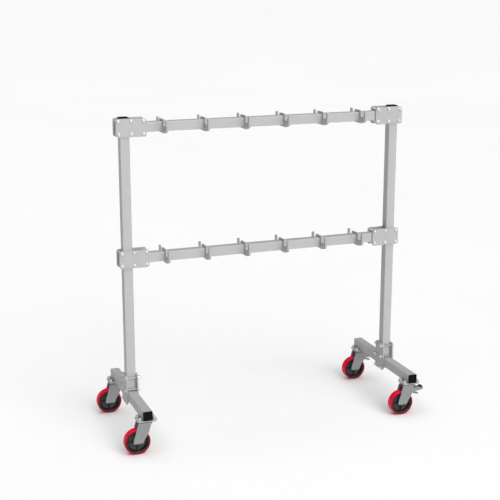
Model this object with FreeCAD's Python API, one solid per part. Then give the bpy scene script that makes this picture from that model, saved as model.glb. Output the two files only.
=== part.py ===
import FreeCAD, Part
import math
import os

# Mobile hook rack: a bolted square-tube frame on four swivel casters, with double-sided hooks.
# Millimetres.  X runs along the beams, Y from front to rear, Z up.  The origin is on the floor,
# midway between the posts.  Every sub-part is written to parts/NODE.step.

V = FreeCAD.Vector

# ---- tube frame --------------------------------------------------------------------------
TUBE = 38.1                    # outside of the square tube, 1 1/2 in
WALL = 2.0
TUBE_R = 3.0                   # outside corner radius of the tube
HALF = TUBE / 2
OUTER_WIDTH = 1200.0           # over the outer faces of the two posts
POST_X = (OUTER_WIDTH - TUBE) / 2
FOOT_LENGTH = 528.0            # front to rear, over the end caps
FOOT_BOTTOM = 143.0
FOOT_TOP = FOOT_BOTTOM + TUBE
FOOT_Z = FOOT_BOTTOM + HALF
LOWER_BEAM_Z = 732.5           # centre height of each beam
UPPER_BEAM_Z = 1255.0
JOINT_GAP = 0.5                # tubes that butt end to side stop this far short

# ---- clamp plates and their M8 fasteners ---------------------------------------------------
PITCH = 50.0                   # hole spacing both ways, just over one tube plus a bolt
PLATE_EDGE = 11.0              # outer hole centres to the plate's edge
PLATE_LENGTH = 2 * PITCH + 2 * PLATE_EDGE
PLATE_WIDTH = PITCH + 2 * PLATE_EDGE
PLATE_T = 6.35
PLATE_R = 9.0
PLATE_FACE = HALF + PLATE_T    # outer face of a clamp plate from the tube's centre line
BOLT_R = 4.0
HOLE_R = 4.25
THREAD_FIT = 0.05
HEX_AF = 13.0
DOME_R = 7.0                   # domed bolt heads
HEAD_T = 4.6
NUT_T = 6.5
WASHER_R = 8.0
WASHER_T = 1.6
BOLT_END = 3.0                 # thread that shows past a nut
POST_TOP = UPPER_BEAM_Z + PLATE_WIDTH / 2 + 0.5

# ---- end caps --------------------------------------------------------------------------------
CAP_T = 4.0
CAP_DOME = 1.2
CAP_PLUG = 14.0
CAP_FIT = 0.3

# ---- hooks -----------------------------------------------------------------------------------
HOOKS_PER_BEAM = 6
HOOK_PITCH = 170.0
HOOK_T = 8.0                   # plate thickness, along the beam
RING_Z = HALF + 7.6            # half height of the ring round the beam
STEM_Y = 29.0                  # outside of the ring, where each pocket starts
POCKET_W = 30.0
POCKET_FLOOR = 0.5             # above the beam's centre line
POCKET_R = 12.0
PRONG_T = 11.5
PRONG_TOP = 29.0
PRONG_FOOT = -17.5             # lowest point of the prong's outer corner
HOOK_FIT = 0.3

# ---- casters ---------------------------------------------------------------------------------
CASTER_Y = 230.0               # swivel axes from the middle of the foot bar
WHEEL_R = 52.0                 # 4 in wheel over its crowned tread
TREAD_W = 32.0
TREAD_T = 8.0
SHOULDER_R = 3.0
TRAIL = 38.0                   # axle behind the swivel axis, towards -X at rest
PLATE_X = 40.0                 # half sizes of the mounting plate
PLATE_Y = 30.0
MOUNT_R = 12.0
MOUNT_T = 4.5
BOLT_X = 29.0                  # caster bolts, each way from the swivel axis
BOLT_Y = 19.5
TOP_INSET = 2.0                # the caster's own top plate is this much smaller all round
TOP_T = 3.0
TOP_BOTTOM = FOOT_BOTTOM - MOUNT_T - TOP_T
LOW_HEAD_R = 7.0               # low round heads that clear the turning fork
LOW_HEAD_T = 2.4
CROWN_TOP = 131.0              # upper face of the fork's web
LEG_BOTTOM = 46.5
FORK_T = 2.5
FORK_INSIDE = 35.0             # between the legs
FORK_OUT = FORK_INSIDE / 2 + FORK_T
UPPER_RACE_H = 2.4
RACE_GAP = 0.4
KINGPIN_R = 6.0
SWIVEL_FIT = 0.05
AXLE_R = 3.0
AXLE_HEAD_R = 5.0
AXLE_HEAD_T = 1.8
SLEEVE_R = 6.0
CORE_W = 30.0
CORE_BORE = SLEEVE_R + SWIVEL_FIT
HUB_R = 14.0
RIBS = 4
RIB_T = 4.5
RIM_T = 6.0

# ---- brakes of the right-hand casters --------------------------------------------------------
PIVOT_X = 3.0                  # pedal pin, from the swivel axis
PIVOT_Z = 107.0
PIN_R = 2.5
PEDAL_HALF = 16.5              # half width between the fork's legs
PEDAL_REACH = 62.0
PEDAL_T = 2.5
PRESS_DEG = 12.0               # pedal travel from up to locked
LIP_R = 3.0
LIP_ARM = 18.0                 # pin to the middle of the lip that bears on the tread
SHOE_CLEAR = 0.35


def box(x0, x1, y0, y1, z0, z1):
    return Part.makeBox(x1 - x0, y1 - y0, z1 - z0, V(x0, y0, z0))


def cylinder(radius, start, end):
    axis = V(*end) - V(*start)
    return Part.makeCylinder(radius, axis.Length, V(*start), axis)


def rounded_outline(corners, place):
    """A closed wire through (u, v, radius) corners; place(u, v) puts a flat point in space."""
    count = len(corners)
    stretches = []
    for i in range(count):
        here = V(corners[i][0], corners[i][1], 0)
        radius = corners[i][2]
        before = V(corners[i - 1][0], corners[i - 1][1], 0) - here
        after = V(corners[(i + 1) % count][0], corners[(i + 1) % count][1], 0) - here
        before.normalize()
        after.normalize()
        if radius <= 0:
            stretches.append((here, None, here))
            continue
        half_angle = before.getAngle(after) / 2
        back = radius / math.tan(half_angle)
        middle = before + after
        middle.normalize()
        centre = here + middle * (radius / math.sin(half_angle))
        stretches.append((here + before * back, centre - middle * radius, here + after * back))
    edges = []
    for i, (start, mid, end) in enumerate(stretches):
        if mid is not None:
            edges.append(Part.Arc(place(start), place(mid), place(end)).toShape())
        following = stretches[(i + 1) % count][0]
        if (following - end).Length > 1e-6:
            edges.append(Part.LineSegment(place(end), place(following)).toShape())
    return Part.Wire(edges)


def slab(corners, axis, low, high):
    """The solid between low and high along axis whose outline is the rounded corners."""
    places = {
        "x": lambda p: V(low, p.x, p.y),
        "y": lambda p: V(p.x, low, p.y),
        "z": lambda p: V(p.x, p.y, low),
    }
    along = {"x": V(1, 0, 0), "y": V(0, 1, 0), "z": V(0, 0, 1)}[axis]
    face = Part.Face(rounded_outline(corners, places[axis]))
    return face.extrude(along * (high - low))


def rectangle(u0, u1, v0, v1, radius):
    return [(u0, v0, radius), (u1, v0, radius), (u1, v1, radius), (u0, v1, radius)]


def shifted(solid, x=0.0, y=0.0, z=0.0):
    copy = solid.copy()
    copy.translate(V(x, y, z))
    return copy


def turned(solid, axis, degrees):
    copy = solid.copy()
    copy.rotate(V(0, 0, 0), V(*axis), degrees)
    return copy


def write(node, *solids):
    shape = solids[0] if len(solids) == 1 else Part.makeCompound(list(solids))
    shape.exportStep("parts/" + node + ".step")


# ---- frame -------------------------------------------------------------------------------------
def square_tube(axis, low, high):
    inner = HALF - WALL
    outside = slab(rectangle(-HALF, HALF, -HALF, HALF, TUBE_R), axis, low, high)
    inside = slab(rectangle(-inner, inner, -inner, inner, TUBE_R - WALL), axis, low, high)
    return outside.cut(inside)


def end_cap():
    """A push-in cap at the origin: flange upwards from z = 0, hollow plug below it."""
    inner = HALF - WALL - CAP_FIT
    flange = slab(rectangle(-HALF, HALF, -HALF, HALF, TUBE_R), "z", 0, CAP_T)
    rim = [edge for edge in flange.Edges if edge.BoundBox.ZMin > CAP_T - 0.01]
    flange = flange.makeChamfer(CAP_DOME, rim)
    plug = slab(rectangle(-inner, inner, -inner, inner, 1.0), "z", -CAP_PLUG, 0)
    hollow = slab(rectangle(3 - inner, inner - 3, 3 - inner, inner - 3, 1.0), "z", -CAP_PLUG, -1.5)
    return flange.fuse(plug.cut(hollow)).removeSplitter()


def frame_tubes():
    for side, name in ((-1, "left"), (1, "right")):
        post = square_tube("z", FOOT_TOP + JOINT_GAP, POST_TOP)
        write(name + "_post", shifted(post, x=side * POST_X))
        write(name + "_post_cap", shifted(end_cap(), x=side * POST_X, z=POST_TOP))
        half_foot = FOOT_LENGTH / 2 - CAP_T
        foot = square_tube("y", -half_foot, half_foot)
        write(name + "_foot_bar", shifted(foot, x=side * POST_X, z=FOOT_Z))
        caps = []
        for end in (-1, 1):
            cap = turned(end_cap(), (1, 0, 0), -90 * end)
            caps.append(shifted(cap, x=side * POST_X, y=end * half_foot, z=FOOT_Z))
        write(name + "_foot_caps", *caps)
    reach = POST_X - HALF - JOINT_GAP
    for name, height in (("lower", LOWER_BEAM_Z), ("upper", UPPER_BEAM_Z)):
        write(name + "_beam", shifted(square_tube("x", -reach, reach), z=height))


# ---- clamped joints ----------------------------------------------------------------------------
def clamp_plate():
    """One plate flat in XZ with its inner face at y = 0, thickness towards -Y."""
    half_l = PLATE_LENGTH / 2
    half_w = PLATE_WIDTH / 2
    plate = slab(rectangle(-half_l, half_l, -half_w, half_w, PLATE_R), "y", -PLATE_T, 0)
    for column in (-1, 0, 1):
        for row in (-0.5, 0.5):
            x, z = column * PITCH, row * PITCH
            plate = plate.cut(cylinder(HOLE_R, (x, -PLATE_T - 1, z), (x, 1, z)))
    return plate


def hexagon(across_flats, y0, y1):
    corner_r = across_flats / 2 / math.cos(math.radians(30))
    corners = []
    for i in range(6):
        angle = math.radians(30 + 60 * i)
        corners.append((corner_r * math.cos(angle), corner_r * math.sin(angle), 0))
    prism = slab(corners, "y", y0, y1)
    crown = Part.makeCone(
        corner_r - 0.9, corner_r - 0.9 + (y1 - y0) * 2.2, y1 - y0, V(0, y0, 0), V(0, 1, 0)
    )
    return prism.common(crown)


def bolt(grip):
    """Domed head below y = 0, shank along +Y through the grip, a nut and the free end."""
    ball = (DOME_R ** 2 + HEAD_T ** 2) / (2 * HEAD_T)
    head = Part.makeSphere(ball, V(0, ball - HEAD_T, 0)).common(box(-9, 9, -HEAD_T, 0, -9, 9))
    shank = cylinder(BOLT_R, (0, 0, 0), (0, grip + NUT_T + BOLT_END, 0))
    tip = [e for e in shank.Edges if e.BoundBox.YMin > grip + NUT_T + BOLT_END - 0.01]
    return head.fuse(shank.makeChamfer(0.8, tip)).removeSplitter()


def nut():
    """Seat at y = 0, body towards +Y."""
    blank = turned(hexagon(HEX_AF, -NUT_T, 0), (0, 0, 1), 180)
    return blank.cut(cylinder(BOLT_R + THREAD_FIT, (0, -1, 0), (0, NUT_T + 1, 0)))


def washer():
    """Flat ring from y = 0 towards +Y."""
    ring = cylinder(WASHER_R, (0, 0, 0), (0, WASHER_T, 0))
    return ring.cut(cylinder(HOLE_R, (0, -1, 0), (0, WASHER_T + 1, 0)))


def clamped_joint():
    """Plates and fasteners about a joint's centre, plates in XZ, bolt heads to the front."""
    front = shifted(clamp_plate(), y=-HALF)
    rear = shifted(clamp_plate(), y=HALF + PLATE_T)
    grip = 2 * (PLATE_FACE + WASHER_T)
    one_bolt = shifted(bolt(grip), y=-PLATE_FACE - WASHER_T)
    one_nut = shifted(nut(), y=PLATE_FACE + WASHER_T)
    head_washer = shifted(washer(), y=-PLATE_FACE - WASHER_T)
    nut_washer = shifted(washer(), y=PLATE_FACE)
    bolts, nuts, washers = [], [], []
    for column in (-1, 0, 1):
        for row in (-0.5, 0.5):
            x, z = column * PITCH, row * PITCH
            bolts.append(shifted(one_bolt, x=x, z=z))
            nuts.append(shifted(one_nut, x=x, z=z))
            washers.append(shifted(head_washer, x=x, z=z))
            washers.append(shifted(nut_washer, x=x, z=z))
    return {"plates": [front, rear], "bolts": bolts, "nuts": nuts, "washers": washers}


def clamps():
    """Four beam joints, and two base joints with the same plates stood on end."""
    joint = clamped_joint()
    all_fasteners = {"bolts": [], "nuts": [], "washers": []}

    def place(node, move):
        write(node, *[move(s) for s in joint["plates"]])
        for kind, solids in all_fasteners.items():
            solids.extend(move(s) for s in joint[kind])

    for side, end in ((-1, "left"), (1, "right")):
        beam_x = side * (POST_X - PITCH / 2)
        for level, height in (("lower", LOWER_BEAM_Z), ("upper", UPPER_BEAM_Z)):
            place(
                level + "_" + end + "_clamp_plates",
                lambda s, x=beam_x, z=height: shifted(s, x=x, z=z),
            )

        def stand(solid, side=side):
            upright = turned(turned(solid, (0, 1, 0), 90), (0, 0, 1), 90 * side)
            return shifted(upright, x=side * POST_X, z=FOOT_Z + PITCH / 2)

        place(end + "_base_clamp_plates", stand)
    write("clamp_bolts", *all_fasteners["bolts"])
    write("clamp_nuts", *all_fasteners["nuts"])
    write("clamp_washers", *all_fasteners["washers"])


# ---- hooks -------------------------------------------------------------------------------------
def hook_plate():
    """Flat plate in YZ: a square ring for the beam with an open pocket in front and behind."""
    prong_in = STEM_Y + POCKET_W
    prong_out = prong_in + PRONG_T
    half = [
        (STEM_Y, RING_Z, 3.0),
        (STEM_Y, POCKET_FLOOR, POCKET_R),
        (prong_in, POCKET_FLOOR, POCKET_R),
        (prong_in, PRONG_TOP, 3.0),
        (prong_out, PRONG_TOP, 5.0),
        (prong_out, PRONG_FOOT, 13.0),
        (STEM_Y + 4, -RING_Z, 25.0),
    ]
    mirrored = [(-y, z, r) for y, z, r in reversed(half)]
    plate = slab(half + mirrored, "x", -HOOK_T / 2, HOOK_T / 2)
    side = HALF + HOOK_FIT
    opening = slab(rectangle(-side, side, -side, side, TUBE_R), "x", -HOOK_T, HOOK_T)
    return plate.cut(opening)


def hooks():
    plate = hook_plate()
    first = -HOOK_PITCH * (HOOKS_PER_BEAM - 1) / 2
    for level, height in (("lower", LOWER_BEAM_Z), ("upper", UPPER_BEAM_Z)):
        for i in range(HOOKS_PER_BEAM):
            name = "%s_hook_%d" % (level, i + 1)
            write(name, shifted(plate, x=first + i * HOOK_PITCH, z=height))


# ---- casters -----------------------------------------------------------------------------------
def drilled_plate(half_x, half_y, z0, z1):
    plate = slab(rectangle(-half_x, half_x, -half_y, half_y, MOUNT_R), "z", z0, z1)
    for x in (-BOLT_X, BOLT_X):
        for y in (-BOLT_Y, BOLT_Y):
            plate = plate.cut(cylinder(HOLE_R, (x, y, z0 - 1), (x, y, z1 + 1)))
    return plate


def top_plate():
    """Caster top plate with the upper ball race and the riveted kingpin."""
    plate = drilled_plate(PLATE_X - TOP_INSET, PLATE_Y - TOP_INSET, TOP_BOTTOM, TOP_BOTTOM + TOP_T)
    race = Part.makeCone(22, 24, UPPER_RACE_H, V(0, 0, TOP_BOTTOM - UPPER_RACE_H))
    pin_low = CROWN_TOP - FORK_T - 4.5
    pin = cylinder(KINGPIN_R, (0, 0, pin_low), (0, 0, TOP_BOTTOM + 1))
    head = cylinder(11, (0, 0, pin_low), (0, 0, pin_low + 4.2))
    head = head.makeChamfer(1.5, [e for e in head.Edges if e.BoundBox.ZMax < pin_low + 0.01])
    return plate.fuse([race, pin, head]).removeSplitter()


def caster_bolt():
    """Low round head below z = 0, shank upwards through both plates, the washer and the nut."""
    head = cylinder(LOW_HEAD_R, (0, 0, -LOW_HEAD_T), (0, 0, 0))
    head = head.makeChamfer(1.2, [e for e in head.Edges if e.BoundBox.ZMax < 0.01 - LOW_HEAD_T])
    length = TOP_T + MOUNT_T + WASHER_T + NUT_T + BOLT_END
    shank = cylinder(BOLT_R, (0, 0, 0), (0, 0, length))
    shank = shank.makeChamfer(0.8, [e for e in shank.Edges if e.BoundBox.ZMin > length - 0.01])
    return head.fuse(shank).removeSplitter()


def fork(braked):
    """Pressed fork under the swivel axis at the origin; the legs trail towards -X."""
    leg_outline = [
        (-35.5, CROWN_TOP, 3.0),
        (-47.5, 87.0, 40.0),
        (-56.0, 62.0, 20.0),
        (-56.0, LEG_BOTTOM, 4.0),
        (-18.0, LEG_BOTTOM, 3.0),
        (-14.0, 55.0, 12.0),
        (6.5, 90.0, 60.0),
        (17.5, CROWN_TOP, 3.0),
    ]
    near = slab(leg_outline, "y", -FORK_OUT, -FORK_OUT + FORK_T)
    far = slab(leg_outline, "y", FORK_OUT - FORK_T, FORK_OUT)
    web_outline = [
        (-35.5, -FORK_OUT, 3),
        (17.5, -FORK_OUT, 3),
        (28, -12, 10),
        (28, 12, 10),
        (17.5, FORK_OUT, 3),
        (-35.5, FORK_OUT, 3),
    ]
    web = slab(web_outline, "z", CROWN_TOP - FORK_T, CROWN_TOP)
    race_top = TOP_BOTTOM - UPPER_RACE_H - RACE_GAP
    race = Part.makeCone(24, 22, race_top - CROWN_TOP, V(0, 0, CROWN_TOP))
    body = near.fuse([far, web, race])
    bore = KINGPIN_R + SWIVEL_FIT
    body = body.cut(cylinder(bore, (0, 0, CROWN_TOP - 10), (0, 0, TOP_BOTTOM)))
    axle_hole = AXLE_R + THREAD_FIT
    body = body.cut(cylinder(axle_hole, (-TRAIL, -40, WHEEL_R), (-TRAIL, 40, WHEEL_R)))
    if braked:
        body = body.cut(cylinder(PIN_R + 0.05, (PIVOT_X, -40, PIVOT_Z), (PIVOT_X, 40, PIVOT_Z)))
    return body.removeSplitter()


def riveted(radius, head_r, head_t):
    """Pin along Y at the origin with a low head outside each fork leg."""
    shank = cylinder(radius, (0, -FORK_OUT, 0), (0, FORK_OUT, 0))
    heads = []
    for side in (-1, 1):
        seat = side * FORK_OUT
        heads.append(Part.makeCone(head_r, head_r - 1.5, head_t, V(0, seat, 0), V(0, side, 0)))
    return shank.fuse(heads).removeSplitter()


def axle():
    """Riveted axle along Y at the origin and the bearing sleeve between the legs."""
    half = FORK_INSIDE / 2
    sleeve = cylinder(SLEEVE_R, (0, -half, 0), (0, half, 0))
    sleeve = sleeve.cut(cylinder(AXLE_R + THREAD_FIT, (0, -half - 1, 0), (0, half + 1, 0)))
    return [riveted(AXLE_R, AXLE_HEAD_R, AXLE_HEAD_T), sleeve]


def wheel_core():
    """Moulded core about the Y axis: hub, thin disc, ribs and rim under the tread."""
    half = CORE_W / 2
    rim_out = WHEEL_R - TREAD_T
    rim_in = rim_out - RIM_T

    def ring(outer, inner, half_width):
        solid = cylinder(outer, (0, -half_width, 0), (0, half_width, 0))
        return solid.cut(cylinder(inner, (0, -half_width - 1, 0), (0, half_width + 1, 0)))

    core = ring(rim_out, rim_in, half)
    disc = ring(rim_in + 1, HUB_R - 1, 2.0)
    hub = ring(HUB_R, CORE_BORE, FORK_INSIDE / 2 - 0.6)
    ribs = []
    for i in range(RIBS):
        rib = box(HUB_R - 1, rim_in + 1, -half + 2, half - 2, -RIB_T / 2, RIB_T / 2)
        ribs.append(turned(rib, (0, 1, 0), 360 / RIBS * i))
    return core.fuse([disc, hub] + ribs).removeSplitter()


def tread():
    """Polyurethane tyre about the Y axis with rounded shoulders."""
    inner = WHEEL_R - TREAD_T
    half = TREAD_W / 2
    corners = [
        (inner, -half, 0),
        (WHEEL_R, -half, SHOULDER_R),
        (WHEEL_R, half, SHOULDER_R),
        (inner, half, 0),
    ]
    section = rounded_outline(corners, lambda p: V(p.x, p.y, 0))
    return Part.Face(section).revolve(V(0, 0, 0), V(0, 1, 0), 360)


def shoe_lip():
    """Middle of the pedal's rounded lip, from the pin, with the pedal up.

    Locked, the lip stands SHOE_CLEAR off the tread; up is PRESS_DEG back from there.
    """
    across, height = PIVOT_X + TRAIL, PIVOT_Z - WHEEL_R
    span = math.hypot(across, height)
    reach = WHEEL_R + SHOE_CLEAR + LIP_R
    at_pin = math.acos((span ** 2 + LIP_ARM ** 2 - reach ** 2) / (2 * span * LIP_ARM))
    locked = math.atan2(-height, -across) + at_pin
    up = locked + math.radians(PRESS_DEG)
    return LIP_ARM * math.cos(up), LIP_ARM * math.sin(up)


def brake_pedal():
    """Pressed pedal about its pin at the origin: a trough upside down, a lip and a lower toe."""
    half = PEDAL_HALF
    lip_x, lip_z = shoe_lip()
    side = [
        (-6, 6.5, 3),
        (20, 9.0, 12),
        (44, 5.4, 20),
        (PEDAL_REACH, 2.4, 1.5),
        (PEDAL_REACH - 1, -4.4, 1.2),
        (42, -8.8, 14),
        (14, -9.0, 2),
        (6, lip_z - 2, 3),
        (-7, -9, 4),
    ]

    def plan(width, reach):
        return [
            (-12, -width, 1),
            (12, -width, 8),
            (30, 3.5 - width, 12),
            (reach, 5.5 - width, 6),
            (reach, width - 5.5, 6),
            (30, width - 3.5, 12),
            (12, width, 8),
            (-12, width, 1),
        ]

    outside = slab(side, "y", -half, half).common(slab(plan(half, PEDAL_REACH), "z", -30, 20))
    inside = shifted(slab(side, "y", -half, half), z=-PEDAL_T).fuse(box(-20, 40, -half, half, -40, -3))
    inside = inside.common(slab(plan(half - PEDAL_T, PEDAL_REACH - PEDAL_T), "z", -60, 20))
    lip = cylinder(LIP_R, (lip_x, -half, lip_z), (lip_x, half, lip_z))
    sheet = [(12, 5, 0), (14, 5, 0), (14, -2, 0), (lip_x + 3, lip_z, 0), (lip_x, lip_z, 0), (12, -2, 0)]
    apron = slab(sheet, "y", -half, half)
    bent = [(11, -3, 1), (22, -17, 8), (42, -21.5, 2), (41.4, -27.5, 2), (20, -22.5, 8), (8, -6, 1)]
    toe = slab(bent, "y", -6.5, 6.5)
    body = outside.cut(inside).fuse([lip, apron, toe])
    return body.cut(cylinder(PIN_R + 0.05, (0, -half - 1, 0), (0, half + 1, 0))).removeSplitter()


def pedal_pad():
    """Moulded rubber pad on top of the pedal near its end."""
    pad = slab([(44, 4.0, 0), (60, 1.2, 0), (61, 8.6, 3), (46, 10.8, 3)], "y", -8.5, 8.5)
    return pad.cut(brake_pedal())


def casters():
    mounting_plates, mounting_bolts, mounting_nuts = [], [], []
    top_nut = turned(nut(), (1, 0, 0), 90)
    flat_washer = turned(washer(), (1, 0, 0), 90)
    for x_side, x_name in ((-1, "left"), (1, "right")):
        for y_side, y_name in ((-1, "front"), (1, "rear")):
            x, y = x_side * POST_X, y_side * CASTER_Y
            name = x_name + "_" + y_name
            braked = x_name == "right"
            mounting = drilled_plate(PLATE_X, PLATE_Y, FOOT_BOTTOM - MOUNT_T, FOOT_BOTTOM)
            mounting_plates.append(shifted(mounting, x=x, y=y))
            write(name + "_caster_top_plate", shifted(top_plate(), x=x, y=y))
            for bx in (-BOLT_X, BOLT_X):
                for by in (-BOLT_Y, BOLT_Y):
                    at = {"x": x + bx, "y": y + by}
                    mounting_bolts.append(shifted(caster_bolt(), z=TOP_BOTTOM, **at))
                    mounting_nuts.append(shifted(top_nut, z=FOOT_BOTTOM + WASHER_T, **at))
                    mounting_nuts.append(shifted(flat_washer, z=FOOT_BOTTOM, **at))
            write(name + "_fork", shifted(fork(braked), x=x, y=y))
            axle_at = {"x": x - TRAIL, "y": y, "z": WHEEL_R}
            write(name + "_axle", *[shifted(s, **axle_at) for s in axle()])
            write(name + "_wheel_core", shifted(wheel_core(), **axle_at))
            write(name + "_wheel_tread", shifted(tread(), **axle_at))
            if braked:
                pivot_at = {"x": x + PIVOT_X, "y": y, "z": PIVOT_Z}
                write(name + "_brake_pedal", shifted(brake_pedal(), **pivot_at))
                write(name + "_brake_pad", shifted(pedal_pad(), **pivot_at))
                write(name + "_brake_pin", shifted(riveted(PIN_R, 4.5, 1.8), **pivot_at))
    write("caster_mounting_plates", *mounting_plates)
    write("caster_mounting_bolts", *mounting_bolts)
    write("caster_mounting_nuts", *mounting_nuts)


os.makedirs("parts", exist_ok=True)
frame_tubes()
clamps()
hooks()
casters()
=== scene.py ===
import bmesh
import bpy
import math
from mathutils import Matrix, Vector


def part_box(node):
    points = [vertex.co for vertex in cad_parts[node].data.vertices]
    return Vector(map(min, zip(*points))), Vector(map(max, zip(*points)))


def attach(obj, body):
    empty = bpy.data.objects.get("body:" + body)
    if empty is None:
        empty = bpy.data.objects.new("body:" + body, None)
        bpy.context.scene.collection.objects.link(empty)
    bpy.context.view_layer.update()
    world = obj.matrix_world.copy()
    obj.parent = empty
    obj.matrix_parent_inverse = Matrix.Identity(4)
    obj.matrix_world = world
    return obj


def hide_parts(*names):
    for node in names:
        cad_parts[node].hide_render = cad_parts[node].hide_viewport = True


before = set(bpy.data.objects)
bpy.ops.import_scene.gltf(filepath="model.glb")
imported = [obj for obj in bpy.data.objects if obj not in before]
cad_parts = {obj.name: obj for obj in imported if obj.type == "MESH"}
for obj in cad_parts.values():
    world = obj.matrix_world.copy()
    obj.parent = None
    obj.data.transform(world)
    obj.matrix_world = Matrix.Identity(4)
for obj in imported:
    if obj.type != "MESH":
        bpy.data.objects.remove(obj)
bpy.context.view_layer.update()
MM = 0.001

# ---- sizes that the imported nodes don't give (millimetres) ----------------------------------
TUBE = 38.1
HALF = TUBE / 2
WALL = 2.0
TUBE_R = 3.0
PITCH = 50.0
PLATE_R = 9.0
BOLT_R = 4.0
HEX_AF = 13.0
DOME_R = 7.0
HEAD_T = 4.6
NUT_T = 6.5
WASHER_R = 8.0
WASHER_T = 1.6
BOLT_END = 3.0
THREAD_PITCH = 1.25
HOOK_T = 8.0
RING_Z = HALF + 7.6
TRAIL = 38.0
FORK_INSIDE = 35.0
FORK_T = 2.5
FORK_OUT = FORK_INSIDE / 2 + FORK_T
CROWN_TOP = 131.0
LEG_BOTTOM = 46.5
MOUNT_T = 4.5
TOP_T = 3.0
UPPER_RACE_H = 2.4
BOLT_X = 29.0
BOLT_Y = 19.5
WHEEL_R = 52.0
TREAD_T = 8.0
TREAD_HALF = 16.0
CORE_HALF = 15.0
HUB_R = 14.0
SLEEVE_R = 6.0
AXLE_R = 3.0
SLEEVE_FIT = 0.05
MOUNT_OVERLAP = 2.0
CORNER_R = 12.0
LOW_HEAD_T = 2.4
RIB_HALF = 2.25
PEDAL_HALF = 16.5
PEDAL_T = 2.3
PIVOT_X = 3.0
PIVOT_Z = 107.0
LIP_ARM = 18.0
LIP_R = 3.0
SHOE_CLEAR = 0.35
PRESS_DEG = 12.0
PAD_HALF = 8.5
TOE_HALF = 6.5
PIN_R = 2.5

SHARP_DEG = 38.0
RELIEF_DEPTH = 0.0002


# ---- shapes: lists of points and faces, in millimetres ---------------------------------------
class Shape:
    def __init__(self, points=(), faces=()):
        self.points = [Vector(p) for p in points]
        self.faces = [list(f) for f in faces]

    def __add__(self, other):
        shift = len(self.points)
        joined = Shape(self.points, self.faces)
        joined.points += [p.copy() for p in other.points]
        joined.faces += [[i + shift for i in f] for f in other.faces]
        return joined

    def moved(self, x=0.0, y=0.0, z=0.0):
        return Shape([p + Vector((x, y, z)) for p in self.points], self.faces)

    def turned(self, axis, degrees):
        spin = Matrix.Rotation(math.radians(degrees), 3, axis)
        return Shape([spin @ p for p in self.points], self.faces)


def together(shapes):
    total = Shape()
    for shape in shapes:
        shift = len(total.points)
        total.points += [p.copy() for p in shape.points]
        total.faces += [[i + shift for i in f] for f in shape.faces]
    return total


def shape_of(bm):
    bm.verts.index_update()
    result = Shape([v.co for v in bm.verts], [[v.index for v in f.verts] for f in bm.faces])
    bm.free()
    return result


PLACES = {
    "X": lambda u, v, w: Vector((w, u, v)),
    "Y": lambda u, v, w: Vector((u, w, v)),
    "Z": lambda u, v, w: Vector((u, v, w)),
}
ALONG = {"X": Vector((1, 0, 0)), "Y": Vector((0, 1, 0)), "Z": Vector((0, 0, 1))}


def rounded(corners, steps=6):
    """Points round a closed outline of (u, v, radius) corners."""
    count = len(corners)
    points = []
    for i, (u, v, radius) in enumerate(corners):
        here = Vector((u, v))
        if radius <= 0:
            points.append((u, v))
            continue
        before = (Vector(corners[i - 1][:2]) - here).normalized()
        after = (Vector(corners[(i + 1) % count][:2]) - here).normalized()
        half_angle = before.angle(after) / 2
        centre = here + (before + after).normalized() * (radius / math.sin(half_angle))
        back = radius / math.tan(half_angle)
        start = here + before * back - centre
        sweep = start.angle_signed(here + after * back - centre)
        for k in range(steps + 1):
            turn = Matrix.Rotation(-sweep * k / steps, 2)
            spot = centre + turn @ start
            points.append((spot.x, spot.y))
    return points


def rectangle(u0, u1, v0, v1, radius, steps=6):
    return rounded([(u0, v0, radius), (u1, v0, radius), (u1, v1, radius), (u0, v1, radius)], steps)


def prism(polygons, axis, low, high, bevel=0.6, steps=2):
    """Solid between low and high over polygons that may share edges, its rims rounded."""
    bm = bmesh.new()
    rings = []
    keys_of = [[(round(u, 3), round(v, 3)) for u, v in polygon] for polygon in polygons]
    for level in (low, high):
        ring = {}
        for keys in keys_of:
            for key in keys:
                if key not in ring:
                    ring[key] = bm.verts.new(PLACES[axis](key[0], key[1], level))
        rings.append(ring)
    uses = {}
    for keys in keys_of:
        for ring in rings:
            bm.faces.new([ring[key] for key in keys])
        for a, b in zip(keys, keys[1:] + keys[:1]):
            uses.setdefault(frozenset((a, b)), []).append((a, b))
    for used in uses.values():
        if len(used) == 1:
            a, b = used[0]
            bm.faces.new([rings[0][a], rings[0][b], rings[1][b], rings[1][a]])
    bmesh.ops.recalc_face_normals(bm, faces=bm.faces)
    bm.normal_update()

    def is_cap(face):
        return abs(face.normal.dot(ALONG[axis])) > 0.9

    pairs = [(e, e.link_faces) for e in bm.edges if len(e.link_faces) == 2]
    rim = [e for e, faces in pairs if is_cap(faces[0]) != is_cap(faces[1])]
    if bevel:
        bmesh.ops.bevel(bm, geom=rim, offset=bevel, segments=steps, profile=0.5, affect="EDGES")
    return shape_of(bm)


def pipe(outer, inner, axis, low, high):
    """Hollow length between two outlines with the same number of points."""
    count = len(outer)
    points, faces = [], []
    for outline in (outer, inner):
        for level in (low, high):
            points += [PLACES[axis](u, v, level) for u, v in outline]
    for i in range(count):
        j = (i + 1) % count
        faces.append((i, j, count + j, count + i))
        faces.append((2 * count + i, 2 * count + j, 3 * count + j, 3 * count + i))
        faces.append((i, j, 2 * count + j, 2 * count + i))
        faces.append((count + i, count + j, 3 * count + j, 3 * count + i))
    return Shape(points, faces)


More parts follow.
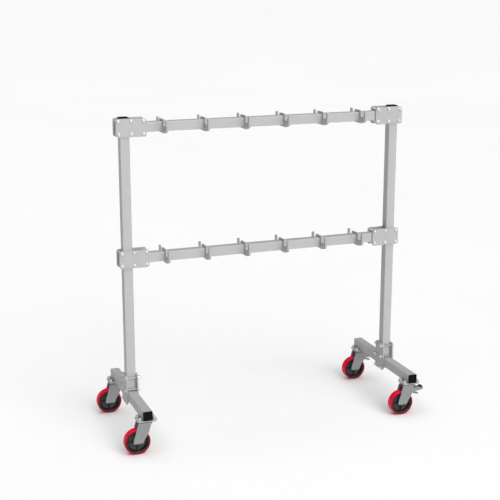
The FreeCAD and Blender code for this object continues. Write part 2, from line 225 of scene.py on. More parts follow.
def lathe(profile, axis, segments=64, closed=False):
    """Turned solid from (radius, height) points; closed joins the last point to the first."""
    points, faces, rings = [], [], []
    for radius, height in profile:
        if radius < 1e-6:
            rings.append([len(points)] * segments)
            points.append(PLACES[axis](0, 0, height))
            continue
        rings.append(list(range(len(points), len(points) + segments)))
        for k in range(segments):
            angle = 2 * math.pi * k / segments
            points.append(PLACES[axis](radius * math.cos(angle), radius * math.sin(angle), height))
    pairs = list(zip(rings, rings[1:]))
    if closed:
        pairs.append((rings[-1], rings[0]))
    for lower, upper in pairs:
        for k in range(segments):
            j = (k + 1) % segments
            face = [lower[k], lower[j], upper[j], upper[k]]
            face = [p for n, p in enumerate(face) if p not in face[:n]]
            if len(face) > 2:
                faces.append(face)
    return Shape(points, faces)


def stacked(levels, count):
    """Faces of a solid whose outline of count points is repeated at several levels."""
    faces = []
    for low in range(0, (levels - 1) * count, count):
        for i in range(count):
            j = (i + 1) % count
            faces.append((low + i, low + j, low + count + j, low + count + i))
    faces.append(tuple(range(count))[::-1])
    faces.append(tuple(range((levels - 1) * count, levels * count)))
    return faces


def softened(profile, radius, steps=3):
    """A closed (radius, height) section with every corner rounded."""
    return rounded([(r, h, radius) for r, h in profile], steps)


# ---- fasteners, heads below z = 0 and shanks along +Z ----------------------------------------
def shank(length, threaded):
    """Round shank from z = 0 with a V thread over its last stretch."""
    z = length - threaded
    profile = [(0, 0), (BOLT_R, 0), (BOLT_R, z)]
    while z + THREAD_PITCH < length - 0.9:
        profile.append((BOLT_R - 0.62, z + THREAD_PITCH / 2))
        profile.append((BOLT_R - 0.02, z + THREAD_PITCH))
        z += THREAD_PITCH
    profile += [(BOLT_R - 0.75, length - 0.25), (BOLT_R - 1.0, length), (0, length)]
    return lathe(profile, "Z", 24)


def bolt(grip):
    """Domed head and a shank threaded up to it."""
    ball = (DOME_R ** 2 + HEAD_T ** 2) / (2 * HEAD_T)
    dome = [(0, -HEAD_T)]
    for k in range(1, 11):
        depth = HEAD_T * (k / 10) ** 2
        dome.append((math.sqrt(ball ** 2 - (ball - depth) ** 2), depth - HEAD_T))
    length = grip + NUT_T + BOLT_END
    return lathe(dome + [(0, 0)], "Z", 36) + shank(length, length - 3.0)


def nut():
    """Hexagonal nut whose corners are turned off at both ends."""
    points = []
    per_side, flat = 6, HEX_AF / 2
    count = 6 * per_side
    levels = [0, 0.35, 0.8, 1.4, 2.2]
    steps = levels + [NUT_T - d for d in reversed(levels)]
    for z in steps:
        room = flat * 0.955 + min(z, NUT_T - z) * 1.25
        for k in range(count):
            angle = 2 * math.pi * k / count
            off = math.radians((math.degrees(angle) + 30) % 60 - 30)
            radius = min(flat / math.cos(off), room)
            points.append(Vector((radius * math.cos(angle), radius * math.sin(angle), z)))
    return Shape(points, stacked(len(steps), count))


def washer():
    ring = [(BOLT_R + 0.25, 0), (WASHER_R, 0), (WASHER_R, WASHER_T), (BOLT_R + 0.25, WASHER_T)]
    return lathe(softened(ring, 0.3, 2), "Z", 36, closed=True)


# ---- materials ---------------------------------------------------------------------------------
def material(name, dark, light, roughness, metallic=0.0, grain=900.0, bump=0.05,
             mottle=14.0, specular=0.5, side=None, turn=(0.55, 0.95)):
    """Principled surface: base colour, roughness and relief all vary with two scales of noise.

    A side colour is painted shading. It tints the faces that look along Y: as painted shade it darkens a
    tyre's walls, and as painted light it lightens a wheel core's flat sides.
    It comes in as the normal's Y part goes from the first to the second value of turn.
    """
    mat = bpy.data.materials.new(name)
    mat.use_nodes = True
    nodes, links = mat.node_tree.nodes, mat.node_tree.links
    shader = nodes["Principled BSDF"]
    shader.inputs["Metallic"].default_value = metallic
    shader.inputs["Specular IOR Level"].default_value = specular
    where = nodes.new("ShaderNodeTexCoord")

    def noise(scale, detail, rough=0.5):
        node = nodes.new("ShaderNodeTexNoise")
        node.inputs["Scale"].default_value = scale
        node.inputs["Detail"].default_value = detail
        node.inputs["Roughness"].default_value = rough
        links.new(where.outputs["Object"], node.inputs["Vector"])
        return node.outputs["Fac"]

    broad, fine = noise(mottle, 5.0, 0.6), noise(grain, 3.0)
    blend = nodes.new("ShaderNodeMix")
    blend.data_type = "FLOAT"
    blend.inputs["Factor"].default_value = 0.5
    links.new(fine, blend.inputs["A"])
    links.new(broad, blend.inputs["B"])
    ramp = nodes.new("ShaderNodeValToRGB")
    ramp.color_ramp.elements[0].position = 0.34
    ramp.color_ramp.elements[1].position = 0.66
    ramp.color_ramp.elements[0].color = (*dark, 1)
    ramp.color_ramp.elements[1].color = (*light, 1)
    links.new(blend.outputs["Result"], ramp.inputs["Fac"])
    colour = ramp.outputs["Color"]
    # painted shading: faces that look along Y take the side colour, which stands in for shade or light
    if side:
        facing = nodes.new("ShaderNodeSeparateXYZ")
        links.new(where.outputs["Normal"], facing.inputs["Vector"])
        amount = nodes.new("ShaderNodeMath")
        amount.operation = "ABSOLUTE"
        links.new(facing.outputs["Y"], amount.inputs[0])
        painted_shading_mask = nodes.new("ShaderNodeMapRange")
        painted_shading_mask.inputs["From Min"].default_value = turn[0]
        painted_shading_mask.inputs["From Max"].default_value = turn[1]
        links.new(amount.outputs["Value"], painted_shading_mask.inputs["Value"])
        painted_shading_tint = nodes.new("ShaderNodeMix")
        painted_shading_tint.data_type = "RGBA"
        links.new(painted_shading_mask.outputs["Result"], painted_shading_tint.inputs[0])
        links.new(colour, painted_shading_tint.inputs[6])
        painted_shading_tint.inputs[7].default_value = (*side, 1)
        colour = painted_shading_tint.outputs[2]
    links.new(colour, shader.inputs["Base Color"])
    spread = nodes.new("ShaderNodeMapRange")
    spread.inputs["From Min"].default_value = 0.3
    spread.inputs["From Max"].default_value = 0.7
    spread.inputs["To Min"].default_value = roughness[0]
    spread.inputs["To Max"].default_value = roughness[1]
    links.new(broad, spread.inputs["Value"])
    links.new(spread.outputs["Result"], shader.inputs["Roughness"])
    relief = nodes.new("ShaderNodeBump")
    relief.inputs["Strength"].default_value = bump
    relief.inputs["Distance"].default_value = RELIEF_DEPTH
    links.new(fine, relief.inputs["Height"])
    links.new(relief.outputs["Normal"], shader.inputs["Normal"])
    return mat


LOOKS = {
    "frame_paint": material("frame_paint", (0.395, 0.395, 0.398), (0.445, 0.445, 0.448), (0.42, 0.54),
                            metallic=0.1, grain=1600, bump=0.10, specular=0.4),
    "plate_paint": material("plate_paint", (0.385, 0.385, 0.388), (0.44, 0.44, 0.443), (0.40, 0.54),
                            metallic=0.15, grain=1400, bump=0.12, specular=0.4),
    "hook_paint": material("hook_paint", (0.37, 0.37, 0.373), (0.425, 0.425, 0.428), (0.42, 0.55),
                           metallic=0.15, grain=1500, bump=0.10, specular=0.35),
    "black_caps": material("black_caps", (0.0025, 0.0025, 0.003), (0.0055, 0.0055, 0.006), (0.55, 0.7),
                           grain=1800, bump=0.2, specular=0.08),
    "fastener_zinc": material("fastener_zinc", (0.60, 0.61, 0.62), (0.74, 0.75, 0.76), (0.24, 0.36),
                              metallic=0.85, grain=700, bump=0.08, mottle=60),
    "caster_zinc": material("caster_zinc", (0.235, 0.24, 0.24), (0.285, 0.29, 0.29), (0.34, 0.5),
                            metallic=0.35, grain=500, bump=0.06, mottle=40, specular=0.4),
    # The core's side colour is painted light: it lightens the core's flat faces that look along Y.
    "wheel_core": material("wheel_core", (0.004, 0.0045, 0.0045), (0.009, 0.0095, 0.0095), (0.4, 0.55),
                           grain=1200, bump=0.15, specular=0.25, side=(0.045, 0.043, 0.043),
                           turn=(0.93, 0.99)),
    # The tread's side colour is painted shade: it darkens the tyre's walls that look along Y.
    "wheel_tread": material("wheel_tread", (0.78, 0.002, 0.032), (0.86, 0.003, 0.042), (0.36, 0.5),
                            grain=900, bump=0.08, mottle=30, specular=0.12, side=(0.15, 0.012, 0.022)),
    "pedal_rubber": material("pedal_rubber", (0.006, 0.006, 0.006), (0.012, 0.012, 0.012), (0.55, 0.75),
                             grain=1500, bump=0.3, specular=0.2),
}


def piece(name, shape, slot, body, nodes):
    """One visible object made from a shape: material, body, slot and the CAD nodes it replaces."""
    mesh = bpy.data.meshes.new(name)
    mesh.from_pydata([p * MM for p in shape.points], [], shape.faces)
    bm = bmesh.new()
    bm.from_mesh(mesh)
    bmesh.ops.recalc_face_normals(bm, faces=bm.faces)
    bm.to_mesh(mesh)
    bm.free()
    mesh.shade_smooth()
    mesh.set_sharp_from_angle(angle=math.radians(SHARP_DEG))
    mesh.materials.append(LOOKS[slot])
    obj = bpy.data.objects.new(name, mesh)
    bpy.context.scene.collection.objects.link(obj)
    weights = obj.modifiers.new("weighted_normals", "WEIGHTED_NORMAL")
    weights.keep_sharp = True
    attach(obj, body)
    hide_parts(*nodes)


def middle(node):
    low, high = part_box(node)
    return (low + high) / 2 / MM


def ends(node, axis):
    low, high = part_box(node)
    return low[axis] / MM, high[axis] / MM


# ---- tubes and caps ----------------------------------------------------------------------------
TUBE_OUT = rectangle(-HALF, HALF, -HALF, HALF, TUBE_R, 8)
TUBE_IN = rectangle(WALL - HALF, HALF - WALL, WALL - HALF, HALF - WALL, TUBE_R - WALL, 8)


def square_tube(node, axis):
    number = "XYZ".index(axis)
    low, high = ends(node, number)
    centre = middle(node)
    centre[number] = 0
    shape = pipe(TUBE_OUT, TUBE_IN, axis, low, high).moved(*centre)
    piece(node + "_tube", shape, "frame_paint", "frame", [node])


def end_cap(flange, plug):
    """Flange from z = 0 up with a softly domed face, and a plug below."""
    rings = [(0, 0), (0, flange - 1.3), (0.35, flange - 0.6), (1.1, flange - 0.15), (4.5, flange)]
    points = []
    for inset, height in rings:
        side = HALF - inset
        outline = rectangle(-side, side, -side, side, max(TUBE_R - inset, 0.8), 6)
        points += [Vector((u, v, height)) for u, v in outline]
    faces = stacked(len(rings), len(points) // len(rings))
    side = HALF - WALL - 0.3
    socket = prism([rectangle(-side, side, -side, side, 1.0, 4)], "Z", -plug, 0.0, 0.4)
    return Shape(points, faces) + socket


for side in ("left", "right"):
    square_tube(side + "_post", "Z")
    square_tube(side + "_foot_bar", "Y")
    low, high = ends(side + "_post_cap", 2)
    post = middle(side + "_post")
    tube_top = ends(side + "_post", 2)[1]
    cap = end_cap(high - tube_top, tube_top - low)
    cap = cap.moved(post.x, post.y, tube_top)
    piece(side + "_post_cap_moulding", cap, "black_caps", "frame", [side + "_post_cap"])
    foot = middle(side + "_foot_bar")
    front, rear = ends(side + "_foot_bar", 1)
    reach = ends(side + "_foot_caps", 1)[1]
    cap = end_cap(reach - rear, 14.0)
    pair = cap.turned("X", 90).moved(foot.x, front, foot.z)
    pair = pair + cap.turned("X", -90).moved(foot.x, rear, foot.z)
    piece(side + "_foot_cap_mouldings", pair, "black_caps", "frame", [side + "_foot_caps"])
for level in ("lower", "upper"):
    square_tube(level + "_beam", "X")


# ---- clamp plates and their bolts ----------------------------------------------------------------
def clamp_pair(node, across):
    """The two plates of a joint, thin along the axis numbered across."""
    low, high = [Vector(c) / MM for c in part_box(node)]
    centre = (low + high) / 2
    axis = "XYZ"[across]
    first, second = {"X": (1, 2), "Y": (0, 2)}[axis]
    u0, u1 = low[first] - centre[first], high[first] - centre[first]
    v0, v1 = low[second] - centre[second], high[second] - centre[second]
    outline = rectangle(u0, u1, v0, v1, PLATE_R, 10)
    outer = high[across] - centre[across]
    near = prism([outline], axis, -outer, -HALF, 0.8)
    plates = near + prism([outline], axis, HALF, outer, 0.8)
    piece(node + "_pair", plates.moved(*centre), "plate_paint", "frame", [node])
    return centre, outer


def fastener_grid(outer):
    """Bolts, nuts and washers through a pair of plates in XZ; heads to the front."""
    seat = outer + WASHER_T
    bolts, nuts, washers = [], [], []
    for column in (-1, 0, 1):
        for row in (-0.5, 0.5):
            at = {"x": column * PITCH, "z": row * PITCH}
            spin = 17.0 * column + 41.0 * row
            bolts.append(bolt(2 * seat).turned("Z", spin).turned("X", -90).moved(y=-seat, **at))
            nuts.append(nut().turned("Z", 2.3 * spin).turned("X", -90).moved(y=seat, **at))
            washers.append(washer().turned("X", -90).moved(y=outer, **at))
            washers.append(washer().turned("X", -90).moved(y=-seat, **at))
    return [together(kind) for kind in (bolts, nuts, washers)]


fasteners = [Shape(), Shape(), Shape()]
for side, end in ((-1, "left"), (1, "right")):
    for level in ("lower", "upper"):
        centre, outer = clamp_pair(level + "_" + end + "_clamp_plates", 1)
        for kind, shape in enumerate(fastener_grid(outer)):
            fasteners[kind] = fasteners[kind] + shape.moved(*centre)
    centre, outer = clamp_pair(end + "_base_clamp_plates", 0)
    for kind, shape in enumerate(fastener_grid(outer)):
        upright = shape.turned("Y", 90).turned("Z", 90 * side)
        fasteners[kind] = fasteners[kind] + upright.moved(*centre)
for node, shape in zip(("clamp_bolts", "clamp_nuts", "clamp_washers"), fasteners):
    piece(node + "_set", shape, "fastener_zinc", "frame", [node])


# ---- hooks -----------------------------------------------------------------------------------------
def hook_shape():
    """Plate in YZ in two halves that meet above and below the ring's opening."""
    side = HALF + 0.3
    outer = rounded([
        (29.0, RING_Z, 3.0),
        (29.0, 0.5, 12.0),
        (59.0, 0.5, 12.0),
        (59.0, 29.0, 3.0),
        (70.5, 29.0, 5.0),
        (70.5, -17.5, 13.0),
        (33.0, -RING_Z, 25.0),
        (0.0, -RING_Z, 0.0),
        (0.0, -side, 0.0),
        (side, -side, 3.0),
        (side, side, 3.0),
        (0.0, side, 0.0),
        (0.0, RING_Z, 0.0),
    ], 8)
    mirrored = [(-u, v) for u, v in reversed(outer)]
    return prism([outer, mirrored], "X", -HOOK_T / 2, HOOK_T / 2, 0.9, 3)


hook = hook_shape()
for level in ("lower", "upper"):
    beam = middle(level + "_beam")
    for number in range(1, 7):
        node = "%s_hook_%d" % (level, number)
        piece(node + "_plate", hook.moved(middle(node).x, 0, beam.z), "hook_paint", "frame", [node])


# ---- casters ---------------------------------------------------------------------------------------
LEG = [
    (-35.5, CROWN_TOP, 0.0),
    (-47.5, 87.0, 40.0),
    (-56.0, 62.0, 20.0),
    (-56.0, LEG_BOTTOM, 4.0),
    (-18.0, LEG_BOTTOM, 3.0),
    (-14.0, 55.0, 12.0),
    (6.5, 90.0, 60.0),
    (17.5, CROWN_TOP, 0.0),
]


def leg_span(z, outline):
    """Leftmost and rightmost x of the leg's outline at a height."""
    cuts = []
    for (x0, z0), (x1, z1) in zip(outline, outline[1:] + outline[:1]):
        if (z0 - z) * (z1 - z) <= 0 and z0 != z1:
            cuts.append(x0 + (x1 - x0) * (z - z0) / (z1 - z0))
    return min(cuts), max(cuts)


def fork_shape():
    """Sheet bent over at the crown: outer and inner skins on the same grid, edges rolled."""
    outline = rounded(LEG, 10)
    bottom = min(z for x, z in outline)
    leg_steps, bend_steps, web_steps, across = 30, 6, 10, 16
    bend = 5.5

    def skin(inset):
        """Rows of (y, z, outline height, web progress) from one leg's foot to the other's."""
        radius = bend - inset
        top, side = CROWN_TOP - inset, FORK_OUT - inset
        rows = []
        for k in range(leg_steps):
            share = (k / leg_steps) ** 1.5
            z = bottom + 0.25 + (CROWN_TOP - bend - bottom) * share
            rows.append((-side, z, z))
        for k in range(bend_steps + 1):
            angle = math.pi / 2 * k / bend_steps
            y = -side + radius * (1 - math.cos(angle))
            z = top - radius * (1 - math.sin(angle))
            rows.append((y, z, min(z + inset, CROWN_TOP - 0.01)))
        flat = side - radius
        web = [(-flat + 2 * flat * k / web_steps, top, CROWN_TOP - 0.01) for k in range(1, web_steps)]
        return rows + web + [(-y, z, h) for y, z, h in reversed(rows)]

    bm = bmesh.new()
    grids = []
    for inset in (0.0, FORK_T):
        grid = []
        for y, z, height in skin(inset):
            left, right = leg_span(height, outline)
            lift = max(0.0, min(1.0, (height - 108.0) / 23.0))
            belly = 10.0 * lift ** 2 * math.cos(math.pi / 2 * min(abs(y) / FORK_OUT, 1.0)) ** 0.6
            row = []
            for k in range(across + 1):
                x = left + (right + belly - left) * k / across
                row.append(bm.verts.new((x, y, z)))
            grid.append(row)
        grids.append(grid)
    outer, inner = grids
    last = len(outer) - 1
    for grid in grids:
        for i in range(last):
            for k in range(across):
                bm.faces.new([grid[i][k], grid[i + 1][k], grid[i + 1][k + 1], grid[i][k + 1]])
    rolled = []
    for i in range(last):
        for k in (0, across):
            bm.faces.new([outer[i][k], outer[i + 1][k], inner[i + 1][k], inner[i][k]])
            rolled += [(outer[i][k], outer[i + 1][k]), (inner[i][k], inner[i + 1][k])]
    for k in range(across):
        for i in (0, last):
            bm.faces.new([outer[i][k], outer[i][k + 1], inner[i][k + 1], inner[i][k]])
            rolled += [(outer[i][k], outer[i][k + 1]), (inner[i][k], inner[i][k + 1])]
    bmesh.ops.recalc_face_normals(bm, faces=bm.faces)
    edges = [bm.edges.get(pair) for pair in rolled]
    bmesh.ops.bevel(bm, geom=edges, offset=0.5, segments=2, profile=0.5, affect="EDGES")
    sheet = shape_of(bm)
    race = [(0, CROWN_TOP - 1), (24, CROWN_TOP - 1), (24, CROWN_TOP + 0.3), (23.4, CROWN_TOP + 1.1),
            (22.2, CROWN_TOP + 1.7), (0, CROWN_TOP + 1.7)]
    return sheet + lathe(race, "Z", 72)


def top_plate_shape(plate_high, half_x, half_y):
    """Rounded plate with the upper race below it and the kingpin's head under the fork."""
    low = plate_high - TOP_T
    outline = rectangle(-half_x, half_x, -half_y, half_y, CORNER_R, 10)
    plate = prism([outline], "Z", low, plate_high, 0.5)
    race = [(0, low - UPPER_RACE_H), (22.0, low - UPPER_RACE_H), (23.2, low - 1.8),
            (24.0, low - 0.8), (24.0, low + 0.5), (0, low + 0.5)]
    pin_low = CROWN_TOP - FORK_T - 4.5
    head = [(0, pin_low), (8.6, pin_low), (10.2, pin_low + 0.5), (11.0, pin_low + 1.8), (11.0, pin_low + 4.2),
            (0, pin_low + 4.2)]
    return plate + lathe(race, "Z", 72) + lathe(head, "Z", 48)


def low_bolt():
    """Caster bolt: low domed head below z = 0 and its shank up through both plates."""
    head = [(0, -LOW_HEAD_T), (3.0, -2.3), (5.2, -1.9), (6.6, -1.1), (7.0, -0.3), (7.0, 0.0), (0, 0.0)]
    return lathe(head, "Z", 36) + shank(TOP_T + MOUNT_T + WASHER_T + NUT_T + BOLT_END, 12.0)


def core_shape():
    """Moulded core about Y: hub, dished web, rim with a rolled lip and four ribs a side."""
    rim_out, rim_in = WHEEL_R - TREAD_T, WHEEL_R - TREAD_T - 6.0
    hub_half = FORK_INSIDE / 2 - 0.6
    half_section = [
        (SLEEVE_R + SLEEVE_FIT, hub_half, 0.5),
        (HUB_R - 2.5, hub_half, 0.8),
        (HUB_R, hub_half - 3.5, 1.0),
        (HUB_R + 0.6, 2.4, 2.0),
        (rim_in - 0.8, 2.4, 2.0),
        (rim_in, CORE_HALF - 3.6, 1.2),
        (rim_in + 2.4, CORE_HALF - 1.6, 0.8),
        (rim_out, CORE_HALF, 0.3),
    ]
    section = half_section + [(r, -h, c) for r, h, c in reversed(half_section)]
    body = lathe(rounded(section, 4), "Y", 96, closed=True)
    ribs = []
    for side in (-1, 1):
        profile = rounded([
            (HUB_R - 1.5, 1.5, 0),
            (rim_in + 1.0, 1.5, 0),
            (rim_in + 1.0, CORE_HALF - 3.0, 0),
            (HUB_R + 7.0, CORE_HALF - 4.0, 6.0),
            (HUB_R - 1.5, CORE_HALF - 1.0, 0),
        ], 5)
        rib = prism([[(u, side * v) for u, v in profile]], "Z", -RIB_HALF, RIB_HALF, 1.9, 5)
        ribs += [rib.turned("Y", 90 * k) for k in range(4)]
    return body + together(ribs)


def tread_shape():
    """Tyre about Y with soft shoulders, a slightly crowned face and a fine parting line."""
    inner = WHEEL_R - TREAD_T
    section = [(inner, -TREAD_HALF), (inner + 2.5, -TREAD_HALF)]
    for k in range(11):
        angle = math.pi / 2 * k / 10
        section.append((WHEEL_R - 3.3 + 3.0 * math.sin(angle), -TREAD_HALF + 3.0 - 3.0 * math.cos(angle)))
    section += [(WHEEL_R - 0.1, -6.0), (WHEEL_R, -1.0), (WHEEL_R - 0.15, -0.3)]
    mirrored = [(r, -h) for r, h in reversed(section)]
    return lathe(section + mirrored, "Y", 128, closed=True)


def riveted(radius, head_r):
    """Pin along Y with a low domed head outside each fork leg."""
    dome = [(0, FORK_OUT + 1.8), (0.4 * head_r, FORK_OUT + 1.7), (0.72 * head_r, FORK_OUT + 1.3),
            (0.93 * head_r, FORK_OUT + 0.7), (head_r, FORK_OUT + 0.05), (head_r, FORK_OUT - 0.05),
            (radius, FORK_OUT - 0.1), (radius, 0), (0, 0)]
    return lathe(dome, "Y", 40) + lathe([(r, -h) for r, h in dome], "Y", 40)


def axle_shape():
    """Riveted axle and the bearing sleeve between the legs."""
    sleeve = [(AXLE_R, -FORK_INSIDE / 2), (SLEEVE_R, -FORK_INSIDE / 2), (SLEEVE_R, FORK_INSIDE / 2),
              (AXLE_R, FORK_INSIDE / 2)]
    return lathe(sleeve, "Y", 40, closed=True) + riveted(AXLE_R, 5.0)


plates, bolts, nuts = [], [], []
for x_name in ("left", "right"):
    for y_name in ("front", "rear"):
        name = x_name + "_" + y_name
        node = name + "_caster_top_plate"
        low, high = [Vector(c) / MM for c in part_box(node)]
        centre = (low + high) / 2
        at = {"x": centre.x, "y": centre.y}
        half_x, half_y = (high.x - low.x) / 2, (high.y - low.y) / 2
        swivel, wheel = name + "_swivel", name + "_wheel"
        plate = top_plate_shape(high.z, half_x, half_y)
        piece(name + "_pressing", plate.moved(**at), "caster_zinc", "frame", [node])
        fork = fork_shape().moved(**at)
        piece(name + "_fork_pressing", fork, "caster_zinc", swivel, [name + "_fork"])
        axle_at = {"x": centre.x - TRAIL, "y": centre.y, "z": WHEEL_R}
        axle = axle_shape().moved(**axle_at)
        piece(name + "_axle_rivet", axle, "caster_zinc", swivel, [name + "_axle"])
        core = core_shape().moved(**axle_at)
        piece(name + "_core", core, "wheel_core", wheel, [name + "_wheel_core"])
        tread = tread_shape().moved(**axle_at)
        piece(name + "_tyre", tread, "wheel_tread", wheel, [name + "_wheel_tread"])
        foot_low = high.z + MOUNT_T
        mount_x, mount_y = half_x + MOUNT_OVERLAP, half_y + MOUNT_OVERLAP
        mount = rectangle(-mount_x, mount_x, -mount_y, mount_y, CORNER_R, 10)
        plates.append(prism([mount], "Z", high.z, foot_low, 0.5).moved(**at))
        for bx in (-BOLT_X, BOLT_X):
            for by in (-BOLT_Y, BOLT_Y):
                spot = {"x": centre.x + bx, "y": centre.y + by}
                spin = bx * 3.0 + by * 1.7
                bolts.append(low_bolt().turned("Z", spin).moved(z=high.z - TOP_T, **spot))
                nuts.append(nut().turned("Z", 2 * spin).moved(z=foot_low + WASHER_T, **spot))
                nuts.append(washer().moved(z=foot_low, **spot))
piece("caster_mounting_plate_set", together(plates), "plate_paint", "frame", ["caster_mounting_plates"])
piece("caster_mounting_bolt_set", together(bolts), "fastener_zinc", "frame", ["caster_mounting_bolts"])
piece("caster_mounting_nut_set", together(nuts), "fastener_zinc", "frame", ["caster_mounting_nuts"])


# ---- brakes of the right-hand casters --------------------------------------------------------------
def trough(stations, thickness, corner):
    """Sheet bent to a trough upside down along X, open behind and below, closed at its tip.

    Each station is (x, top, bottom, half width).
    """
    bm = bmesh.new()
    skins = ([], [])
    bend_steps, across = 4, 6
    last = len(stations) - 1
    for i, (x, top, bottom, half) in enumerate(stations):
        for skin, inset in zip(skins, (0.0, thickness)):
            radius = corner - inset
            side, crown = half - inset, top - inset
            arm = [(-side, bottom), (-side, (bottom + crown - radius) / 2)]
            for k in range(bend_steps + 1):
                angle = math.pi / 2 * k / bend_steps
                arm.append((-side + radius * (1 - math.cos(angle)), crown - radius * (1 - math.sin(angle))))
            flat = side - radius
            row = arm + [(-flat + 2 * flat * k / across, crown) for k in range(1, across)]
            row += [(-y, z) for y, z in reversed(arm)]
            back = inset if i == last else 0.0
            skin.append([bm.verts.new((x - back, y, z)) for y, z in row])
    outer, inner = skins
    count = len(outer[0])
    rolled = []
    for skin in skins:
        for i in range(last):
            for k in range(count - 1):
                bm.faces.new([skin[i][k], skin[i + 1][k], skin[i + 1][k + 1], skin[i][k + 1]])
        bm.faces.new(skin[last])
        rolled += [(skin[last][k], skin[last][k + 1]) for k in range(count - 1)]
    for i in range(last):
        for k in (0, count - 1):
            bm.faces.new([outer[i][k], outer[i + 1][k], inner[i + 1][k], inner[i][k]])
            rolled += [(outer[i][k], outer[i + 1][k]), (inner[i][k], inner[i + 1][k])]
    for k in range(count - 1):
        bm.faces.new([outer[0][k], outer[0][k + 1], inner[0][k + 1], inner[0][k]])
        rolled += [(outer[0][k], outer[0][k + 1]), (inner[0][k], inner[0][k + 1])]
    bm.faces.new([outer[last][0], inner[last][0], inner[last][-1], outer[last][-1]])
    rolled += [(outer[last][0], outer[last][-1]), (inner[last][0], inner[last][-1])]
    bmesh.ops.recalc_face_normals(bm, faces=bm.faces)
    edges = [bm.edges.get(pair) for pair in rolled]
    bmesh.ops.bevel(bm, geom=edges, offset=0.4, segments=2, profile=0.5, affect="EDGES")
    return shape_of(bm)


def shoe_lip():
    """Middle of the pedal's lip from the pin, PRESS_DEG back from where it nears the tread."""
    across, height = PIVOT_X + TRAIL, PIVOT_Z - WHEEL_R
    span = math.hypot(across, height)
    reach = WHEEL_R + SHOE_CLEAR + LIP_R
    at_pin = math.acos((span ** 2 + LIP_ARM ** 2 - reach ** 2) / (2 * span * LIP_ARM))
    angle = math.atan2(-height, -across) + at_pin + math.radians(PRESS_DEG)
    return LIP_ARM * math.cos(angle), LIP_ARM * math.sin(angle)


def pedal_shape():
    """Pressed trough on the pin, the rolled lip that nears the tread and the lower toe."""
    lip_x, lip_z = shoe_lip()
    edges = [(-6.2, 4.6, -7.6), (-4.5, 5.9, -9.6), (-2, 6.6, -12.4), (2, 7.2, -16.2),
             (5, 7.5, lip_z - 1.4), (7.5, 7.8, lip_z + 0.2), (10, 8.0, -13.4), (13, 8.3, -9.9),
             (16, 8.5, -9.0), (20, 8.5, -8.9), (25, 8.1, -8.8), (30, 7.3, -8.8), (36, 6.3, -8.7),
             (42, 5.5, -8.2), (48, 4.6, -7.2), (54, 3.7, -6.0), (58.5, 3.0, -5.1), (61.6, 2.4, -4.4)]
    stations = []
    for x, top, bottom in edges:
        share = max(0.0, min(1.0, (x - 10.0) / 20.0))
        half = PEDAL_HALF - 3.5 * share * share * (3 - 2 * share) - 1.5 * max(0.0, x - 30) / 38
        stations.append((x, top, bottom, half - (0.9 if x > 60 else 0.0)))
    roll = [(0, -PEDAL_HALF), (LIP_R - 0.4, -PEDAL_HALF), (LIP_R, 0.4 - PEDAL_HALF),
            (LIP_R, PEDAL_HALF - 0.4), (LIP_R - 0.4, PEDAL_HALF), (0, PEDAL_HALF)]
    lip = lathe(roll, "Y", 32).moved(lip_x, 0, lip_z)
    sheet = [(12, 6), (14, 6), (14, -2), (lip_x + 2.6, lip_z + 0.6), (lip_x + 0.6, lip_z + 0.6), (12, -2)]
    apron = prism([sheet], "Y", 2.6 - PEDAL_HALF, PEDAL_HALF - 2.6, 0.3)
    bent = [(11, -3, 1), (22, -17, 8), (42, -21.5, 2), (41.4, -27.5, 2), (20, -22.5, 8), (8, -6, 1)]
    toe = prism([rounded(bent, 6)], "Y", -TOE_HALF, TOE_HALF, 1.3, 3)
    return together([trough(stations, PEDAL_T, 3.0), lip, apron, toe])


def pad_shape():
    """Rubber pad on the pedal's end with five ribs moulded across it."""
    body = rounded([(44.2, 4.6, 0.5), (60.0, 2.0, 0.5), (60.9, 8.2, 2.6), (46.0, 10.4, 2.6)], 5)
    ribs = []
    for k in range(5):
        x = 48.6 + 2.4 * k
        z = 10.0 - 0.148 * (x - 46.0)
        rib = rounded([
            (x - 0.7, z - 1.2, 0),
            (x + 0.7, z - 1.6, 0),
            (x + 0.7, z + 0.6, 0.4),
            (x - 0.7, z + 1.0, 0.4),
        ], 3)
        ribs.append(prism([rib], "Y", -7.4, 7.4, 0.25))
    return together([prism([body], "Y", -PAD_HALF, PAD_HALF, 1.1, 3)] + ribs)


for y_name in ("front", "rear"):
    name = "right_" + y_name
    pivot = middle(name + "_brake_pin")
    at = {"x": pivot.x, "y": pivot.y, "z": pivot.z}
    brake = name + "_brake"
    piece(name + "_pedal", pedal_shape().moved(**at), "caster_zinc", brake, [brake + "_pedal"])
    piece(name + "_pad", pad_shape().moved(**at), "pedal_rubber", brake, [brake + "_pad"])
    pin = riveted(PIN_R, 4.5).moved(**at)
    piece(name + "_pin", pin, "caster_zinc", name + "_swivel", [brake + "_pin"])


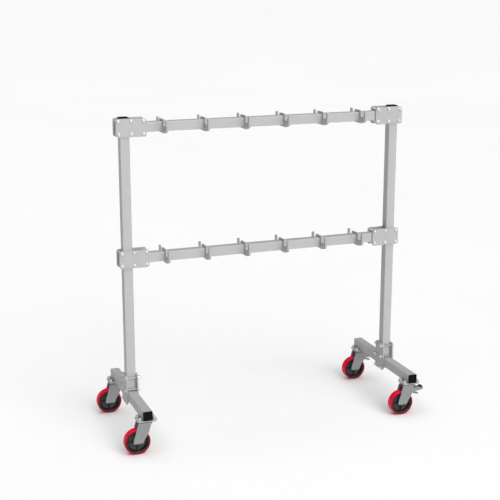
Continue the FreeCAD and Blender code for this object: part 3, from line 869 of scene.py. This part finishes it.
# ---- camera, light and floor -------------------------------------------------------------------------
camera = bpy.data.cameras.new("camera")
camera.lens = 80.17
camera.sensor_width = 36.0
camera.clip_end = 300.0
camera_object = bpy.data.objects.new("camera", camera)
camera_object.location = (-1.6404, -4.1844, 1.8336)
camera_object.rotation_euler = (math.radians(90 - 13.96), 0, math.radians(-20.72))
bpy.context.scene.collection.objects.link(camera_object)
bpy.context.scene.camera = camera_object

world = bpy.data.worlds.new("studio")
world.use_nodes = True
# A bright band at the horizon keeps the background pale in low views.
sky = world.node_tree
heading = sky.nodes.new("ShaderNodeTexCoord")
parts = sky.nodes.new("ShaderNodeSeparateXYZ")
haze = sky.nodes.new("ShaderNodeMapRange")
for socket, value in (("From Min", 0.03), ("From Max", 0.075), ("To Min", 0.85), ("To Max", 0.05)):
    haze.inputs[socket].default_value = value
sky.links.new(heading.outputs["Generated"], parts.inputs["Vector"])
sky.links.new(parts.outputs["Z"], haze.inputs["Value"])
sky.links.new(haze.outputs["Result"], sky.nodes["Background"].inputs["Strength"])
sky.nodes["Background"].inputs["Color"].default_value = (1, 1, 1, 1)
bpy.context.scene.world = world
bpy.context.scene.view_settings.view_transform = "Standard"


def wide_sun(name, towards, strength, spread):
    """Parallel light from the direction towards, as soft as a large studio box."""
    light = bpy.data.lights.new(name, "SUN")
    light.energy = strength
    light.angle = math.radians(spread)
    lamp = bpy.data.objects.new(name, light)
    lamp.rotation_euler = Vector(towards).to_track_quat("Z", "Y").to_euler()
    bpy.context.scene.collection.objects.link(lamp)


wide_sun("key_softbox", (0.18, -0.86, 0.45), 2.38, 60.0)
wide_sun("overhead_softbox", (0.0, -0.05, 1.0), 2.25, 76.0)

FLOOR_HALF = 160
ground = [(FLOOR_HALF * x, FLOOR_HALF * y, 0) for x, y in ((-1, -1), (1, -1), (1, 1), (-1, 1))]
floor_mesh = bpy.data.meshes.new("floor")
floor_mesh.from_pydata(ground, [], [(0, 1, 2, 3)])
floor = bpy.data.objects.new("floor", floor_mesh)
bpy.context.scene.collection.objects.link(floor)
floor_mesh.materials.append(material("floor_paper", (0.885, 0.885, 0.885), (0.905, 0.905, 0.905), (0.7, 0.85),
                                     grain=40, bump=0.0, mottle=0.4, specular=0.1))
# Shiny bolt heads don't mirror the floor, so they are dark below.
floor.visible_glossy = False
